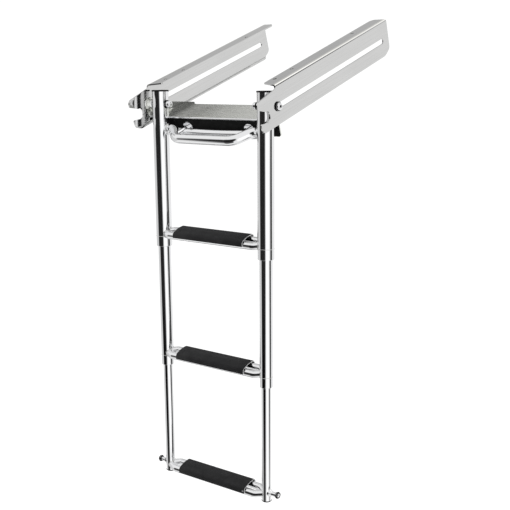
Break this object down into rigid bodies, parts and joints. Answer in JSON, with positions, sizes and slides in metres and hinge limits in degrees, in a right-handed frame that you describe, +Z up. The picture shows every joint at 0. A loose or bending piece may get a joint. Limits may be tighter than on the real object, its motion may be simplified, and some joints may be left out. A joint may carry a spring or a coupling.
{
  "type": "telescopic swim ladder",
  "caption": "Telescopic swim ladder with padded treads and grab bars, hung from a carriage that slides and folds in two slotted side rails under a platform.",
  "frame": {"origin": "on the top face of the right rail's mounting flange, on its row of screw holes, midway between the first and the last hole", "axes": "+X runs along the treads towards the right rail, +Y goes back under the platform along the slots, +Z is up and square to the flange"},
  "size_m": [0.322, 0.6545, 0.7682],
  "materials": {
    "polished_steel": "polished stainless steel",
    "brushed_sheet": "brushed stainless sheet",
    "black_nylon": "moulded black nylon",
    "black_rubber": "ribbed black moulding"
  },
  "bodies": {
    "rails": {"left_rail": "brushed_sheet", "right_rail": "brushed_sheet"},
    "carriage": {"carriage_saddle": "brushed_sheet", "left_pivot_bolt": "polished_steel", "left_cap_nut": "polished_steel", "left_slot_bush": "black_nylon", "left_pivot_spacer": "black_nylon", "right_pivot_bolt": "polished_steel", "right_cap_nut": "polished_steel", "right_slot_bush": "black_nylon", "right_pivot_spacer": "black_nylon"},
    "upper_section": {"left_upper_tube": "polished_steel", "left_tube_cap": "black_nylon", "left_upper_guide": "black_nylon", "right_upper_tube": "polished_steel", "right_tube_cap": "black_nylon", "right_upper_guide": "black_nylon", "upper_step_frame": "polished_steel", "upper_step_pad": "black_rubber", "front_grab_bar": "polished_steel", "rear_grab_bar": "polished_steel"},
    "middle_section": {"left_middle_tube": "polished_steel", "left_middle_guide": "black_nylon", "right_middle_tube": "polished_steel", "right_middle_guide": "black_nylon", "middle_stop_collars": "black_nylon", "middle_step_frame": "polished_steel", "middle_step_pad": "black_rubber"},
    "lower_section": {"left_lower_tube": "polished_steel", "left_foot_plug": "black_nylon", "left_latch_pin": "polished_steel", "right_lower_tube": "polished_steel", "right_foot_plug": "black_nylon", "right_latch_pin": "polished_steel", "lower_stop_collars": "black_nylon", "lower_step_frame": "polished_steel", "lower_step_pad": "black_rubber"}
  },
  "joints": [
    {"name": "stow_slide", "type": "slide", "parent": "rails", "child": "carriage", "axis": [0, 1, 0], "range_m": [0, 0.2975]},
    {"name": "fold_hinge", "type": "hinge", "parent": "carriage", "child": "upper_section", "pos_m": [-0.132, -0.1705, -0.0379], "axis": [-1, 0, 0], "range_deg": [0, 70.8]},
    {"name": "middle_slide", "type": "slide", "parent": "upper_section", "child": "middle_section", "axis": [0, 0.309, 0.9511], "range_m": [0, 0.206]},
    {"name": "lower_slide", "type": "slide", "parent": "middle_section", "child": "lower_section", "axis": [0, 0.309, 0.9511], "range_m": [0, 0.206]}
  ]
}
